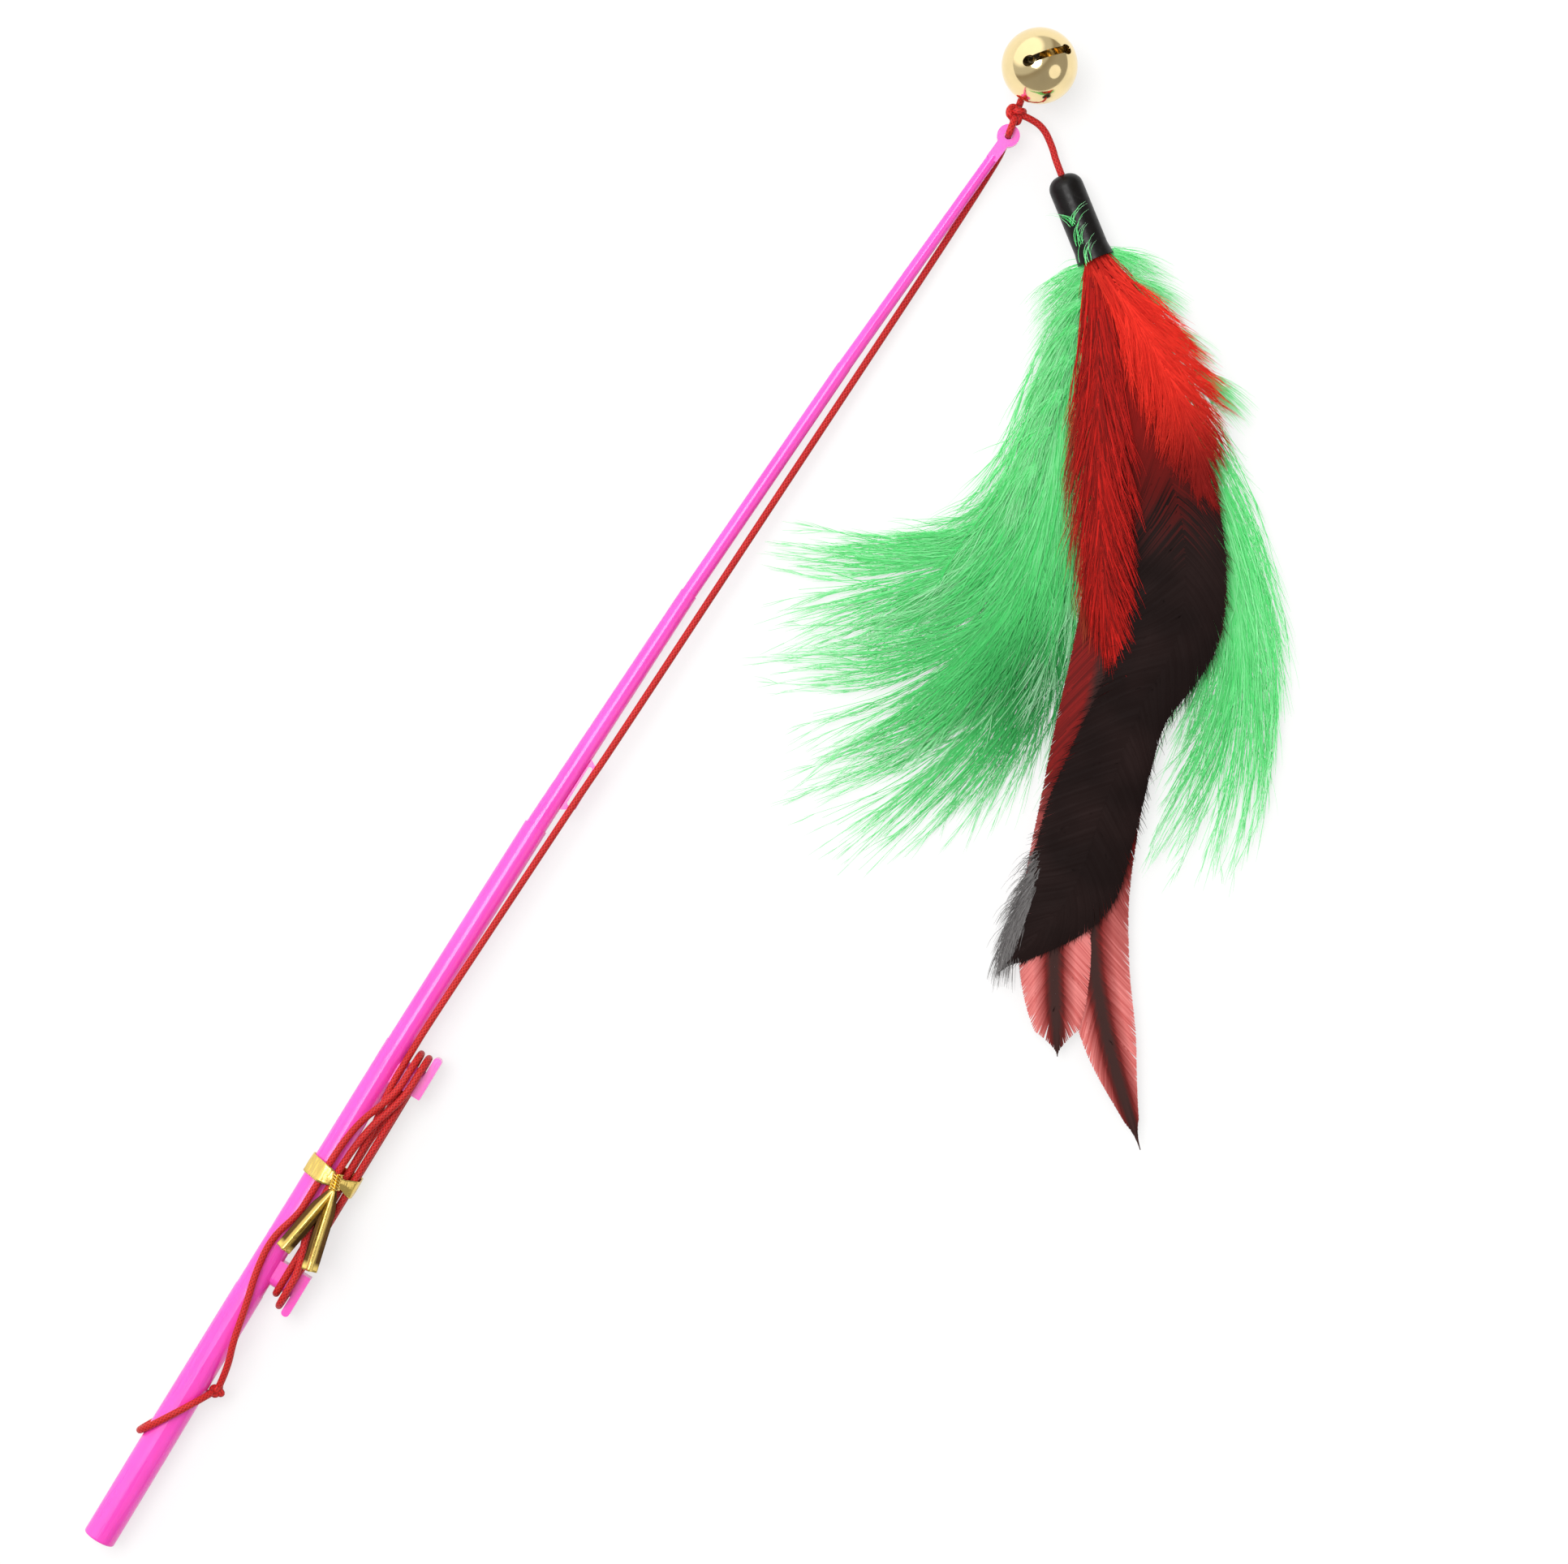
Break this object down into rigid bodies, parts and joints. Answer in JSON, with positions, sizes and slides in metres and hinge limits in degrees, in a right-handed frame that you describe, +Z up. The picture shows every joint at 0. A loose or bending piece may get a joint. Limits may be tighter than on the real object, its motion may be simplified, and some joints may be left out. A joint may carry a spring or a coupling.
{
  "type": "cat teaser wand",
  "caption": "Tapering plastic wand with cord hooks, a wound elastic cord, a jingle bell at the tip and a feather lure swinging on a short lead.",
  "frame": {"origin": "centre of the flat end face of the rod's butt, on the rod's axis", "axes": "+Y along the handle towards the tip, +Z up from the table it lies on, +X towards the hooks and the lure"},
  "size_m": [0.169, 0.422, 0.0214],
  "materials": {
    "rod_plastic": "glossy moulded plastic, slightly translucent",
    "elastic_cord": "braided elastic cord",
    "gold_foil": "metallic foil ribbon",
    "bell_metal": "polished, pale gold",
    "pellet_steel": "plain steel",
    "black_vinyl": "dipped black vinyl, satin",
    "hot_glue": "cloudy hot glue",
    "green_feather": "dyed marabou fluff",
    "red_feather": "dyed hackle",
    "dark_feather": "dyed dark hackle, red at the base"
  },
  "bodies": {
    "wand": {"rod": "rod_plastic", "cord_hank": "elastic_cord", "cord_run": "elastic_cord", "cord_tail": "elastic_cord", "handle_loop": "elastic_cord", "tail_knot": "elastic_cord", "twist_tie": "gold_foil"},
    "knot": {"tip_knot": "elastic_cord"},
    "lead": {"cord_lead": "elastic_cord", "stop_knot": "elastic_cord"},
    "lure": {"cap": "black_vinyl", "glue_plug": "hot_glue", "green_plume_back": "green_feather", "green_plume_upper": "green_feather", "green_plume_lower": "green_feather", "green_plume_right": "green_feather", "red_hackle_left": "red_feather", "red_hackle_right": "red_feather", "red_tail_long": "red_feather", "red_tail_short": "red_feather", "dark_feather": "dark_feather"},
    "bell": {"bell_crown": "bell_metal", "bell_skirt": "bell_metal", "bell_shank": "bell_metal", "bell_tie": "elastic_cord"},
    "pellet": {"bell_pellet": "pellet_steel"}
  },
  "joints": [
    {"name": "lure_swing", "type": "hinge", "parent": "wand", "child": "knot", "pos_m": [0.01085, 0.40128, 0], "axis": [0, 0, 1], "range_deg": [-2, 30]},
    {"name": "lure_lift", "type": "hinge", "parent": "knot", "child": "lead", "pos_m": [0.01085, 0.40128, 0], "axis": [-0.7101, -0.7041, 0], "range_deg": [-80, 80]},
    {"name": "lure_twirl", "type": "hinge", "parent": "lead", "child": "lure", "pos_m": [0.0276, 0.3947, -0.00192], "axis": [0.803, -0.596, 0], "continuous": true},
    {"name": "bell_swing", "type": "hinge", "parent": "wand", "child": "bell", "pos_m": [0.01085, 0.40128, 0], "axis": [0, 0, 1], "range_deg": [-10, 60]},
    {"name": "pellet_roll", "type": "hinge", "parent": "bell", "child": "pellet", "pos_m": [0.0099, 0.413, 0.00593], "axis": [0.0802, 0.2606, 0.9621], "continuous": true}
  ]
}
